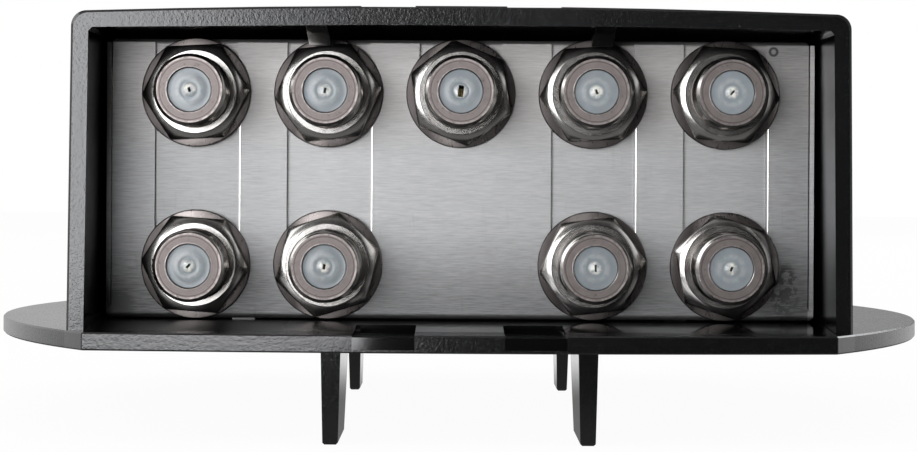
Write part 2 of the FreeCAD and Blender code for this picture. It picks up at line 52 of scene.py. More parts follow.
# Sockets, nuts and washers: the sizes that their solids have
SOCKET_NAMES = ["top_1", "top_2", "top_3", "top_4", "top_5", "bottom_1", "bottom_2", "bottom_4", "bottom_5"]
THREAD_RADIUS = 4.75 * MM
NECK_RADIUS = 4.55 * MM
TIP_RADIUS = 4.3 * MM
TIP_CHAMFER = 0.35 * MM
BORE_RADIUS = 2.9 * MM
THREAD_END = 0.4 * MM
FLANGE_RADIUS = 6.2 * MM
FLANGE_THICKNESS = 1.4 * MM
TAIL_RADIUS = 4.0 * MM
TAIL_BORE_RADIUS = 1.7 * MM
NUT_FLATS = 12.5 * MM
NUT_HEIGHT = 2.5 * MM
NUT_COLLAR_RADIUS = 5.55 * MM
NUT_COLLAR_HEIGHT = 0.35 * MM
NUT_TURNS = (3.0, 6.0, 38.0, 3.0, 56.0, 56.0, 17.0, 7.0, 42.0)
WASHER_RADIUS = 7.3 * MM
WASHER_THICKNESS = 0.5 * MM
SHEET = 0.6 * MM
SLOT_GAP = 0.8 * MM
HOLE_GAP = 0.1 * MM
FIT_GAP = 0.04 * MM

# What the solids lack: the cut thread, the nuts' fuller crown and soft edges
THREAD_ROOT_RADIUS = 4.36 * MM
THREAD_PITCH = 25.4 * MM / 32
THREAD_CREST = 0.07
THREAD_FLANK = 0.36
THREAD_STEPS = 8
THREAD_SEGMENTS = 72
NUT_CROWN_RADIUS = 6.1 * MM
NUT_CROWN_SLOPE = math.tan(math.radians(14))
NUT_SLOPE = math.tan(math.radians(32))
NUT_SEGMENTS = 144
WASHER_SEGMENTS = 96
SOFT_EDGE = 0.08 * MM

# Insulators: the slit's half width, half height and tilt in degrees differ from one to the next
SLITS = {
    "top_1": (0.16, 0.30, 12.0),
    "top_2": (0.14, 0.34, -8.0),
    "top_3": (0.34, 0.75, -6.0),
    "top_4": (0.15, 0.30, 20.0),
    "top_5": (0.12, 0.36, -38.0),
    "bottom_1": (0.15, 0.34, -42.0),
    "bottom_2": (0.16, 0.34, -10.0),
    "bottom_4": (0.12, 0.46, 2.0),
    "bottom_5": (0.14, 0.30, -25.0),
}
INSULATOR_RADIUS = 2.86 * MM
INSULATOR_RECESS = 0.35 * MM
INSULATOR_LENGTH = 9.0 * MM
INSULATOR_SEGMENTS = 64
GUIDE_WALL = 0.9 * MM
LEAF_ROOM = (0.94 * MM, 0.85 * MM)
NUB_RADIUS = 0.68 * MM
NUB_WALL = 0.1 * MM
NUB_LIFT = 0.16 * MM
NUB_BEVEL = 0.03 * MM

# Places on the hood and the case, in millimetres, for their finishes and the tunnel's bed
PLATE_TOP = 13.9
MOUTH = -63.6
WALL_INSIDE = 48.4
WALL_MIDDLE = 49.3
WALL_OUTSIDE = 50.8
ROOF_MIDDLE = 54.2
FIN_ROOT = 11.6
STRAP_SLOT_INNER = 5.7
STRAP_SLOT_OUTER = 13.6
STRAP_SLOT_FRONT = -61.3
STRAP_SLOT_BACK = -54.2
HOOK_MIDDLE = 19.5
HOOK_LOW = 47.0
HOOK_HIGH = 52.6
HOOK_BACK = -44.0
CASE_FOOT = 15.0
CASE_FLAT = 46.65

# Camera, set out from the photograph
CAMERA_PLACE = Vector((-0.6 * MM, -434.0 * MM, 32.6 * MM))
CAMERA_LENS = 113.06
CAMERA_ROLL = math.radians(0.33)
CAMERA_SHIFT_X = 0.003
CAMERA_SHIFT_Y = -0.0425


def socket_axis(name):
    low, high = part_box("socket_" + name)
    return (low.x + high.x) / 2, (low.z + high.z) / 2


# Read from the solids; the pitch and the rows are in millimetres, as the finishes need them
SOCKET_AXES = {name: socket_axis(name) for name in SOCKET_NAMES}
COLUMN_PITCH = (SOCKET_AXES["top_2"][0] - SOCKET_AXES["top_1"][0]) / MM
ROW_LOW = SOCKET_AXES["bottom_1"][1] / MM
ROW_HIGH = SOCKET_AXES["top_1"][1] / MM
TIP_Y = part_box("socket_top_1")[0].y
SOCKET_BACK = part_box("socket_top_1")[1].y
NUT_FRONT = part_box("socket_nuts")[0].y
CASE_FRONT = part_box("case_pan")[0].y
FRAME_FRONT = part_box("case_frame")[0].y


# Shader arithmetic


class Wire:
    """An output of a shader node that takes part in ordinary arithmetic."""

    def __init__(self, shading, socket):
        self.shading = shading
        self.socket = socket

    def math(self, operation, *values):
        return self.shading.node("Math", {"operation": operation}, dict(enumerate(values)))

    def __add__(self, other):
        return self.math("ADD", self, other)

    def __radd__(self, other):
        return self.math("ADD", other, self)

    def __sub__(self, other):
        return self.math("SUBTRACT", self, other)

    def __rsub__(self, other):
        return self.math("SUBTRACT", other, self)

    def __mul__(self, other):
        return self.math("MULTIPLY", self, other)

    def __rmul__(self, other):
        return self.math("MULTIPLY", other, self)

    def __truediv__(self, other):
        return self.math("DIVIDE", self, other)

    def __pow__(self, other):
        return self.math("POWER", self, other)

    def __neg__(self):
        return self.math("MULTIPLY", self, -1.0)

    def __gt__(self, other):
        return self.math("GREATER_THAN", self, other)

    def __lt__(self, other):
        return self.math("LESS_THAN", self, other)

    def __abs__(self):
        return self.math("ABSOLUTE", self)

    def at_most(self, other):
        return self.math("MINIMUM", self, other)

    def at_least(self, other):
        return self.math("MAXIMUM", self, other)

    def within(self, low, high):
        """One between low and high, else zero."""
        return (self > low) * (self < high)


class Shading:
    """A node tree that is written as arithmetic on wires."""

    def __init__(self, tree):
        self.tree = tree

    def node(self, kind, settings=None, sockets=None, output=0):
        made = self.tree.nodes.new("ShaderNode" + kind)
        for key, value in (settings or {}).items():
            setattr(made, key, value)
        for key, value in (sockets or {}).items():
            self.fill(made.inputs[key], value)
        return Wire(self, made.outputs[output])

    def fill(self, socket, value):
        if isinstance(value, Wire):
            self.tree.links.new(value.socket, socket)
        else:
            socket.default_value = value

    def split(self, vector):
        made = self.node("SeparateXYZ", sockets={0: vector}).socket.node
        return [Wire(self, made.outputs[i]) for i in range(3)]

    def ease(self, value, low, high, to_low=0.0, to_high=1.0):
        """A smooth step from to_low to to_high while value goes from low to high."""
        sockets = {0: value, 1: low, 2: high, 3: to_low, 4: to_high}
        return self.node("MapRange", {"interpolation_type": "SMOOTHSTEP"}, sockets)

    def fade(self, value, low, high):
        """A smooth step down from one to zero."""
        return self.ease(value, low, high, 1.0, 0.0)

    def mix(self, factor, first, second):
        settings = {"data_type": "RGBA"}
        return self.node("Mix", settings, {0: factor, 6: first, 7: second}, output=2)

    def seen(self):
        """Rays that show the surround itself: straight, in polished surfaces, and through glass."""
        path = self.node("LightPath").socket.node
        kinds = ["Is Camera Ray", "Is Glossy Ray", "Is Transmission Ray"]
        return [Wire(self, path.outputs[kind]) for kind in kinds]


class Finish(Shading):
    """A surface finish: a material with its principled shader and its place wire."""

    def __init__(self, name):
        self.material = bpy.data.materials.new(name)
        self.material.use_nodes = True
        super().__init__(self.material.node_tree)
        self.shader = self.tree.nodes["Principled BSDF"]
        self.place = self.node("TexCoord", output="Object")

    def surface(self, **sockets):
        for key, value in sockets.items():
            self.fill(self.shader.inputs[key.replace("_", " ")], value)

    def axes(self):
        """The place on the surface as three wires, in millimetres."""
        return [wire * (1 / MM) for wire in self.split(self.place)]

    def stretched(self, x, y, z):
        """The place with each axis scaled, for grain that runs one way."""
        return self.node("VectorMath", {"operation": "MULTIPLY"}, {0: self.place, 1: (x, y, z)})

    def noise(self, scale, detail=2.0, rough=0.5, vector=None):
        sockets = {"Vector": vector or self.place, "Scale": scale, "Detail": detail, "Roughness": rough}
        return self.node("TexNoise", sockets=sockets)

    def streaks(self, scales, detail, rough):
        """Noise that is stretched by a scale along each axis."""
        return self.noise(1.0, detail, rough, self.stretched(*scales))

    def bump(self, height, millimetres, strength):
        sockets = {"Height": height, "Distance": millimetres * MM, "Strength": strength}
        return self.node("Bump", sockets=sockets)


def tint(red, green, blue):
    return (red, green, blue, 1.0)


def grey(level):
    return tint(level, level, level)


# Finishes


def distance(across, up):
    return (across * across + up * up) ** 0.5


def column_offset(x):
    """How far a place lies to the right of the nearest column of sockets, in millimetres."""
    return x - x.math("ROUND", x / COLUMN_PITCH) * COLUMN_PITCH


def socket_radius(f):
    """The distance in millimetres from the axis of the nearest socket."""
    x, _, z = f.axes()
    upper = z > (ROW_LOW + ROW_HIGH) / 2
    row = ROW_LOW + (ROW_HIGH - ROW_LOW) * upper
    return distance(column_offset(x), z - row)


def hood_plastic():
    """Black moulding: a fine grain outside, satin walls inside, a glossy floor and glossy channels."""
    f = Finish("hood_plastic")
    x, y, z = f.axes()
    side = abs(x)
    blur = 0.3
    between_walls = f.fade(side, WALL_MIDDLE - blur, WALL_MIDDLE + blur) * f.ease(y, MOUTH + 0.2, MOUTH + 0.4)
    above_plate = f.ease(z, PLATE_TOP - 1.0, PLATE_TOP - 0.8)
    under_roof = f.fade(z, ROOF_MIDDLE - blur, ROOF_MIDDLE + blur)
    inside = between_walls * above_plate * under_roof
    channel = side.within(STRAP_SLOT_INNER, STRAP_SLOT_OUTER) * (y < STRAP_SLOT_BACK + 0.2)
    channel = channel * z.within(FIN_ROOT + 0.4, PLATE_TOP + 1.1)
    smooth = inside.at_least(channel)
    wall = inside * f.ease(side, WALL_INSIDE - 1.0, WALL_INSIDE - 0.6)
    hook = inside * z.within(HOOK_LOW, HOOK_HIGH) * side.within(HOOK_MIDDLE - 4.0, HOOK_MIDDLE + 4.0)
    hook = hook * (y < HOOK_BACK)
    left_bed = inside * (z < PLATE_TOP + 1.6) * f.ease(-x, 6.0, 26.0)
    fin = f.fade(z, FIN_ROOT - 0.4, FIN_ROOT)
    ear = (side > WALL_OUTSIDE) * f.fade(z, PLATE_TOP + 0.1, PLATE_TOP + 0.3)
    grain = f.noise(2400.0, 2.0, 0.55)
    mottle = f.noise(60.0, 3.0)
    speckle = f.ease(f.noise(4200.0, 1.0), 0.56, 0.72)
    rough = 0.11 + grain * 0.08 + mottle * 0.04 - fin * 0.05 + ear * 0.1
    polish = 0.05 + mottle * 0.05 + wall * 0.14 + hook * 0.18 + left_bed * 0.22
    height = (grain + speckle * 0.25) * (1.0 - smooth * 0.97) * (1.0 - fin * 0.6)
    tone = (speckle * 0.6 + mottle * 0.4) * (1.0 - smooth)
    f.surface(
        Base_Color=f.mix(tone, tint(0.0020, 0.0020, 0.0022), tint(0.0095, 0.0097, 0.0102)),
        Roughness=rough + (polish - rough) * smooth,
        Normal=f.bump(height, 0.03, 0.55),
        IOR=1.6,
    )
    return f.material


def brushed_sheet():
    """Brushed sheet with faint cross scratches, smudges, a stain and a punch mark, and painted shade towards
    the foot, the left, both side ends and the lower left corner.
    """
    f = Finish("brushed_sheet")
    x, _, z = f.axes()
    lines = f.streaks((420.0, 420.0, 6500.0), 3.0, 0.65)
    bands = f.streaks((14.0, 14.0, 1100.0), 2.0, 0.5)
    scuff = f.ease(f.streaks((900.0, 900.0, 160.0), 2.0, 0.7), 0.62, 0.78)
    smudge = f.noise(45.0, 3.0, 0.6)
    # Painted shade: darker towards the foot (broken up by smudges), towards the left, towards both side ends
    # and in the lower left corner.
    painted_foot_shade = f.fade(z, CASE_FOOT, CASE_FOOT + 15.0) * f.ease(smudge, 0.15, 0.6, 0.7, 1.0)
    left = f.ease(-x, 18.0, 34.0)
    side = f.ease(abs(x), 36.0, CASE_FLAT - 0.05) * (abs(x) < CASE_FLAT)
    corner = f.fade(z - x * 0.5, 36.0, 44.0) * f.ease(-x, 43.0, 47.0)
    stain_x, stain_z = 43.5, 19.0
    stain_reach = distance((x - stain_x) * 0.7 ** 0.5, (z - stain_z) * 0.2 ** 0.5)
    stain = f.fade(stain_reach, 0.2, 2.0) * f.ease(f.noise(900.0, 3.0, 0.7), 0.42, 0.6)
    punch_x, punch_z = 41.9, 50.95
    punch_reach = distance(x - punch_x, z - punch_z)
    punch = f.ease(punch_reach, 0.2, 0.45) * f.fade(punch_reach, 0.55, 0.75)
    shade = painted_foot_shade * 0.5 + left * 0.17 + side * (0.25 - left * 0.2) + corner * 0.5
    marks = scuff * 0.05 + stain * 0.8 + punch * 0.6
    tone = (0.25 + lines * 0.6 + bands * 0.1 + smudge * 0.3 - shade - marks).at_least(0.0)
    pale = f.mix(f.ease(z, 36.0, 44.0), grey(0.62), tint(0.61, 0.59, 0.575))
    f.surface(
        Base_Color=f.mix(tone, grey(0.09), pale),
        Metallic=1.0,
        Roughness=0.46 + lines * 0.1 + smudge * 0.1,
        Normal=f.bump(lines + scuff * 0.4, 0.02, 0.35),
    )
    return f.material


def nickel_plate():
    """Bright warm plating with fine marks."""
    f = Finish("nickel_plate")
    cloud = f.noise(240.0, 3.0)
    marks = f.streaks((1500.0, 300.0, 1500.0), 2.0, 0.6)
    f.surface(
        Base_Color=f.mix(cloud, tint(0.40, 0.38, 0.36), tint(0.60, 0.58, 0.56)),
        Metallic=1.0,
        Roughness=0.16 + marks * 0.12,
        Normal=f.bump(marks, 0.012, 0.5),
    )
    return f.material


def washer_steel():
    """Stamped washers: duller than the nuts, warm, with painted shade on their left half, with fine
    scratches.
    """
    f = Finish("washer_steel")
    # Painted shade: each washer is darker on the half that lies to the left of its socket.
    painted_left_shade = f.ease(column_offset(f.axes()[0]), -5.5, -1.0, 0.85, 0.0)
    cloud = f.noise(300.0, 3.0) * (1.0 - painted_left_shade)
    marks = f.streaks((2500.0, 300.0, 900.0), 3.0, 0.6)
    f.surface(
        Base_Color=f.mix(cloud - painted_left_shade * 0.6 + 0.3, tint(0.035, 0.031, 0.030), tint(0.26, 0.232, 0.222)),
        Metallic=1.0,
        Roughness=0.22 + marks * 0.14,
        Normal=f.bump(marks, 0.01, 0.4),
    )
    return f.material


def cut_face():
    """The turned front face of a barrel: turning rings, painted shade along a groove, small nicks, and
    chipped edges with painted bright highlights.
    """
    f = Finish("cut_face")
    radius = socket_radius(f)
    rings = f.noise(1.0, 2.0, 0.6, f.node("CombineXYZ", sockets={0: radius * 6.0}))
    cloud = f.noise(900.0, 3.0)
    nicks = f.ease(f.noise(2600.0, 2.0), 0.62, 0.75)
    # Painted highlight: the outer edge and the bore's edge are lighter, broken up by chip noise that also
    # gives them relief.
    outer_edge, bore_edge = f.ease(radius, 4.02, 4.14), f.fade(radius, 2.98, 3.12)
    edge = outer_edge + bore_edge
    # Painted shade: a thin dark ring stands in for a groove that has no relief.
    groove_radius = 3.92
    painted_groove_shade = f.fade(abs(radius - groove_radius), 0.03, 0.09)
    chips_and_painted_glints = f.ease(f.noise(1700.0, 3.0, 0.7), 0.38, 0.58)
    tone = (rings * 0.4 + cloud * 0.5 + edge * chips_and_painted_glints * 0.7 - nicks * 0.3 - painted_groove_shade * 0.5).at_least(0.0)
    f.surface(
        Base_Color=f.mix(tone, tint(0.112, 0.096, 0.092), tint(0.30, 0.265, 0.254)),
        Metallic=1.0,
        Roughness=0.4 + cloud * 0.15 - edge * 0.12,
        Normal=f.bump(rings * 0.6 + nicks + chips_and_painted_glints * edge, 0.02, 0.6),
    )
    return f.material


def clear_insulator():
    """Milky plastic, paler on its nub and on the soft ring about it, with painted shade deep inside the slit.
    """
    f = Finish("clear_insulator")
    radius = socket_radius(f)
    cloud = f.noise(700.0, 3.0)
    patch = f.ease(f.noise(1300.0, 2.0, 0.6), 0.35, 0.6, 0.25, 1.0)
    soft_ring = f.ease(radius, 1.1, 1.45) * f.fade(radius, 1.6, 2.1) * patch
    nub = f.fade(radius, 0.6, 1.0) * patch
    # Painted shade: everything more than about a millimetre behind the socket's tip, as inside the slit, is
    # near black.
    in_front = f.fade(f.axes()[1], TIP_Y / MM + 0.3, TIP_Y / MM + 1.0)
    milky = f.mix(cloud, tint(0.155, 0.178, 0.193), tint(0.225, 0.247, 0.262))
    pale = f.mix(cloud, tint(0.45, 0.45, 0.42), tint(0.72, 0.71, 0.66))
    tone = f.mix((nub * 0.9).at_least(soft_ring * 0.15), milky, pale)
    f.surface(
        Base_Color=f.mix(in_front, grey(0.01), tone),
        Roughness=0.16 + cloud * 0.12,
        Normal=f.bump(cloud, 0.03, 0.3),
        Subsurface_Weight=0.15,
        Subsurface_Scale=1.0 * MM,
    )
    return f.material


def green_board():
    """Solder mask over the glass weave."""
    f = Finish("green_board")
    weave = f.streaks((1400.0, 1400.0, 100.0), 1.0, 0.5)
    cloud = f.noise(90.0, 2.0)
    f.surface(
        Base_Color=f.mix(cloud, tint(0.012, 0.10, 0.03), tint(0.025, 0.16, 0.05)),
        Roughness=0.3 + weave * 0.12,
        Normal=f.bump(weave, 0.02, 0.3),
        Coat_Weight=0.3,
    )
    return f.material


def grained(name, scale, detail, colours, rough, rough_range, relief, metallic=0.0):
    """A finish that follows one noise; relief is the bump's depth in millimetres and its strength."""
    f = Finish(name)
    grain = f.noise(scale, detail)
    f.surface(
        Base_Color=f.mix(grain, *colours),
        Metallic=metallic,
        Roughness=rough + grain * rough_range,
        Normal=f.bump(grain, *relief),
    )
    return f.material


def spring_metal():
    colours = tint(0.62, 0.52, 0.30), tint(0.80, 0.71, 0.46)
    return grained("spring_metal", 600.0, 2.0, colours, 0.2, 0.15, (0.01, 0.2), metallic=1.0)


def zinc_plate():
    colours = tint(0.50, 0.51, 0.52), tint(0.66, 0.67, 0.68)
    return grained("zinc_plate", 400.0, 3.0, colours, 0.28, 0.15, (0.01, 0.2), metallic=1.0)


def chip_moulding():
    return grained("chip_moulding", 3000.0, 2.0, (grey(0.012), grey(0.03)), 0.5, 0.2, (0.02, 0.4))


def fired_ceramic():
    colours = tint(0.30, 0.20, 0.11), tint(0.42, 0.30, 0.18)
    return grained("fired_ceramic", 2500.0, 2.0, colours, 0.4, 0.2, (0.01, 0.3))


def dark_ferrite():
    return grained("dark_ferrite", 2200.0, 3.0, (grey(0.03), grey(0.07)), 0.35, 0.25, (0.015, 0.3))


# Meshes


def add_object(name, data):
    made = bpy.data.objects.new(name, data)
    bpy.context.scene.collection.objects.link(made)
    return made


def clamp(value):
    return min(max(value, 0.0), 1.0)


def round_axis(axis, segments, y_at, radius_at):
    """Points about a socket's axis, whose radius follows the angle and whose depth follows the radius."""
    x, z = axis
    points = []
    for step in range(segments):
        angle = 2 * math.pi * step / segments
        radius = radius_at(angle)
        points.append(Vector((x + radius * math.cos(angle), y_at(radius), z + radius * math.sin(angle))))
    return points


def ring(axis, radius, y, segments):
    return round_axis(axis, segments, lambda _: y, lambda _: radius)


class Skin:
    """Points and faces of one piece, gathered ring by ring."""

    def __init__(self):
        self.points = []
        self.faces = []
        self.finishes = []

    def add_face(self, corners, finish=0):
        self.faces.append(tuple(corners))
        self.finishes.append(finish)

    def add_rings(self, rings, closed=False, finish=0):
        """Joins rings of equal length with quads; closed joins the last ring to the first."""
        base = len(self.points)
        count = len(rings[0])
        for points in rings:
            self.points += points
        pairs = [(i, i + 1) for i in range(len(rings) - 1)]
        if closed:
            pairs.append((len(rings) - 1, 0))
        for near, far in pairs:
            near, far = base + near * count, base + far * count
            for step in range(count):
                after = (step + 1) % count
                self.add_face((near + step, near + after, far + after, far + step), finish)

    def add_turned(self, axis, outline, segments, closed=False, finish=0):
        self.add_rings([ring(axis, radius, y, segments) for radius, y in outline], closed, finish)

    def piece(self, name, finishes, nodes=()):
        mesh = bpy.data.meshes.new(name)
        mesh.from_pydata([tuple(point) for point in self.points], [], self.faces)
        for material in finishes:
            mesh.materials.append(material)
        for polygon, index in zip(mesh.polygons, self.finishes):
            polygon.material_index = index
        made = add_object(name, mesh)
        tidy_mesh(mesh)
        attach(made, "root")
        if nodes:
            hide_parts(*nodes)


def tidy_mesh(mesh):
    """Joins points that lie together, turns the faces outwards and shades all but sharp edges smoothly."""
    together = 0.0005 * MM
    sharp = math.radians(32)
    work = bmesh.new()
    work.from_mesh(mesh)
    bmesh.ops.remove_doubles(work, verts=work.verts, dist=together)
    bmesh.ops.dissolve_degenerate(work, edges=work.edges, dist=together)
    bmesh.ops.recalc_face_normals(work, faces=work.faces)
    for face in work.faces:
        face.smooth = True
    for edge in work.edges:
        if len(edge.link_faces) == 2 and edge.calc_face_angle(0) > sharp:
            edge.smooth = False
    work.to_mesh(mesh)
    work.free()


def soften(node, width):
    """Rounds the sharp edges of a solid that stays, without touching its mesh."""
    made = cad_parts[node]
    merge = made.modifiers.new("merge_flats", "DECIMATE")
    merge.decimate_type = "DISSOLVE"
    merge.angle_limit = math.radians(0.5)
    bevel = made.modifiers.new("soft_edges", "BEVEL")
    bevel.width = width
    bevel.segments = 2
    bevel.limit_method = "ANGLE"
    bevel.angle_limit = math.radians(25)
    bevel.harden_normals = True


def coat_node(name, material):
    """Gives a solid that stays its finish."""
    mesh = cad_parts[name].data
    mesh.materials.clear()
    mesh.materials.append(material)


# Threaded barrels


def thread_radius(y, angle):
    """The barrel's radius at a depth and angle: a V thread, less at the tip's chamfer and the run-out."""
    turn = ((y - TIP_Y) / THREAD_PITCH - angle / (2 * math.pi)) % 1.0
    flank = clamp((abs(turn - 0.5) - THREAD_CREST) / THREAD_FLANK)
    radius = THREAD_RADIUS + (THREAD_ROOT_RADIUS - THREAD_RADIUS) * flank
    run_out = clamp((NUT_FRONT - THREAD_END - y) / (0.5 * THREAD_PITCH))
    radius = NECK_RADIUS + (radius - NECK_RADIUS) * run_out
    tip = TIP_RADIUS + (THREAD_RADIUS - TIP_RADIUS) * min((y - TIP_Y) / TIP_CHAMFER, 1.0)
    return min(radius, tip)


def add_thread(skin, axis):
    """A helical sheet of points: each row follows the thread, and one turn on it meets a later row."""
    x, z = axis
    end = NUT_FRONT - THREAD_END
    rows = math.ceil((end - TIP_Y) / THREAD_PITCH * THREAD_STEPS) + THREAD_STEPS + 1
    base = len(skin.points)
    for row in range(-THREAD_STEPS, rows):
        for step in range(THREAD_SEGMENTS):
            angle = 2 * math.pi * step / THREAD_SEGMENTS
            y = TIP_Y + THREAD_PITCH * (row / THREAD_STEPS + step / THREAD_SEGMENTS)
            y = min(max(y, TIP_Y), end)
            radius = thread_radius(y, angle)
            skin.points.append(Vector((x + radius * math.cos(angle), y, z + radius * math.sin(angle))))
    lines = rows + THREAD_STEPS
    for row in range(lines - 1):
        for step in range(THREAD_SEGMENTS):
            after, ahead = step + 1, row
            if after == THREAD_SEGMENTS:
                after, ahead = 0, row + THREAD_STEPS
            if ahead + 1 >= lines:
                continue
            near = base + row * THREAD_SEGMENTS
            far = base + ahead * THREAD_SEGMENTS
            skin.add_face(
                (near + step, far + after, far + THREAD_SEGMENTS + after, near + THREAD_SEGMENTS + step)
            )


def threaded_barrel(name, plate, face):
    """One socket: cut thread, chamfered tip, neck inside its nut, flange and tail behind the sheet."""
    axis = SOCKET_AXES[name]
    skin = Skin()
    add_thread(skin, axis)
    flange_front = FRAME_FRONT + SHEET
    insulator_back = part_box("insulator_" + name)[1].y + FIT_GAP
    tip_inner = (BORE_RADIUS + SOFT_EDGE, TIP_Y)
    behind = [
        (NECK_RADIUS, NUT_FRONT - THREAD_END),
        (NECK_RADIUS, flange_front),
        (FLANGE_RADIUS, flange_front),
        (FLANGE_RADIUS, flange_front + FLANGE_THICKNESS),
        (TAIL_RADIUS, flange_front + FLANGE_THICKNESS),
        (TAIL_RADIUS, SOCKET_BACK),
        (TAIL_BORE_RADIUS, SOCKET_BACK),
        (TAIL_BORE_RADIUS, insulator_back),
        (BORE_RADIUS, insulator_back),
        (BORE_RADIUS, TIP_Y + SOFT_EDGE),
        tip_inner,
    ]
    skin.add_turned(axis, behind, THREAD_SEGMENTS)
    skin.add_turned(axis, [tip_inner, (TIP_RADIUS, TIP_Y)], THREAD_SEGMENTS, finish=1)
    skin.piece("barrel_" + name, [plate, face], ["socket_" + name])


# Insulators


def slit_ring(axis, half_width, half_height, tilt, y):
    """Points round a tilted rectangle, one for each direction from the socket's axis."""
    least = 0.001

    def radius_at(angle):
        across, up = abs(math.cos(angle - tilt)), abs(math.sin(angle - tilt))
        return min(half_width / max(across, least), half_height / max(up, least))

    return round_axis(axis, INSULATOR_SEGMENTS, lambda _: y, radius_at)


def plug(name, clear):
    """One insulator: a flat rim, a soft ring and a nub whose slit leads to the spring."""
    axis = SOCKET_AXES[name]
    half_width, half_height, tilt = SLITS[name]
    half_width, half_height, tilt = half_width * MM, half_height * MM, math.radians(tilt)
    front = TIP_Y + INSULATOR_RECESS
    back = front + INSULATOR_LENGTH
    wall_back = front + GUIDE_WALL
    nub = max(NUB_RADIUS, math.hypot(half_width, half_height) + NUB_WALL)
    face = [
        (nub - 2 * NUB_BEVEL, -NUB_LIFT),
        (nub, NUB_BEVEL - NUB_LIFT),
        (nub + 4 * NUB_BEVEL, -0.05 * MM),
        (1.05 * MM, -0.02 * MM),
        (1.25 * MM, -0.045 * MM),
        (1.5 * MM, -0.055 * MM),
        (1.8 * MM, -0.03 * MM),
        (2.1 * MM, 0.0),
        (2.6 * MM, 0.015 * MM),
        (INSULATOR_RADIUS - SOFT_EDGE, 0.0),
        (INSULATOR_RADIUS, SOFT_EDGE),
    ]
    rings = [
        slit_ring(axis, half_width, half_height, tilt, wall_back),
        slit_ring(axis, half_width, half_height, tilt, front - NUB_LIFT + NUB_BEVEL),
        slit_ring(axis, half_width + NUB_BEVEL, half_height + NUB_BEVEL, tilt, front - NUB_LIFT),
    ]
    rings += [ring(axis, radius, front + depth, INSULATOR_SEGMENTS) for radius, depth in face]
    rings += [
        ring(axis, INSULATOR_RADIUS, back, INSULATOR_SEGMENTS),
        slit_ring(axis, *LEAF_ROOM, 0.0, back),
        slit_ring(axis, *LEAF_ROOM, 0.0, wall_back),
    ]
    skin = Skin()
    skin.add_rings(rings, closed=True)
    skin.piece("plug_" + name, [clear], ["insulator_" + name])


# Nuts and washers


def nut_rings(axis, twist):
    """Rings of a chamfered hex nut, from its bore over the collar and the slope down the flats."""
    shoulder = NUT_FRONT + NUT_COLLAR_HEIGHT
    back = NUT_FRONT + NUT_HEIGHT
    soft = SOFT_EDGE
    bore = NECK_RADIUS + FIT_GAP
    rings = []

    def add(radius_at, y_at):
        rings.append(round_axis(axis, NUT_SEGMENTS, y_at, radius_at))

    def flats(angle):
        turn = (angle - twist) % math.radians(60) - math.radians(30)
        return NUT_FLATS / 2 / math.cos(turn)

    def slope(radius):
        crown = min(radius, NUT_CROWN_RADIUS) - NUT_COLLAR_RADIUS
        corner = max(radius - NUT_CROWN_RADIUS, 0.0)
        return shoulder + crown * NUT_CROWN_SLOPE + corner * NUT_SLOPE

    for radius, y in (
        (bore, back),
        (bore, NUT_FRONT + 3 * soft),
        (bore + 3 * soft, NUT_FRONT),
        (NUT_COLLAR_RADIUS - soft, NUT_FRONT),
        (NUT_COLLAR_RADIUS, NUT_FRONT + soft),
        (NUT_COLLAR_RADIUS, shoulder),
    ):
        rings.append(ring(axis, radius, y, NUT_SEGMENTS))
    add(lambda angle: NUT_CROWN_RADIUS, slope)
    add(lambda angle: flats(angle) - soft, slope)
    add(flats, lambda radius: slope(radius) + soft * 0.8)
    add(flats, lambda radius: back - soft)
    add(lambda angle: flats(angle) - soft, lambda radius: back)
    return rings


def hex_nuts(plate):
    skin = Skin()
    for name, turn in zip(SOCKET_NAMES, NUT_TURNS):
        skin.add_rings(nut_rings(SOCKET_AXES[name], math.radians(turn)), closed=True)
    skin.piece("hex_nuts", [plate], ["socket_nuts"])


def washers(steel):
    """Flat washers whose outer front edge is rolled over in a quarter round."""
    skin = Skin()
    inner = THREAD_RADIUS + HOLE_GAP
    front = CASE_FRONT - WASHER_THICKNESS
    roll = 2 * SOFT_EDGE
    outline = [(inner, front + roll), (inner + roll, front)]
    for degrees in (0, 30, 60, 90):
        angle = math.radians(degrees)
        outline.append((WASHER_RADIUS - roll * (1 - math.sin(angle)), front + roll * (1 - math.cos(angle))))
    outline += [(WASHER_RADIUS, CASE_FRONT), (inner, CASE_FRONT)]
    for name in SOCKET_NAMES:
        skin.add_turned(SOCKET_AXES[name], outline, WASHER_SEGMENTS, closed=True)
    skin.piece("washers", [steel], ["socket_washers"])


# Case and tunnel


def slot_lips(metal):
    """The rolled right edge of each long slot, a thin bright line up the front wall."""
    profile = [(0.0, 0.15), (0.03, 0.08), (0.31, -0.035), (0.37, -0.03), (0.40, 0.03)]
    above_socket = 4.0
    low, high = (ROW_LOW + above_socket) * MM, ROW_HIGH * MM
    skin = Skin()
    for name in ("bottom_1", "bottom_2", "bottom_4", "bottom_5"):
        edge = SOCKET_AXES[name][0] + THREAD_RADIUS + SLOT_GAP
        base = len(skin.points)
        outlines = []
        for z in (low, high):
            outline = [Vector((edge + right * MM, CASE_FRONT + back * MM, z)) for right, back in profile]
            outlines.append(outline)
        skin.add_rings(outlines)
        for end in (base, base + len(profile)):
            skin.add_face(range(end, end + len(profile)))
    skin.piece("slot_lips", [metal])


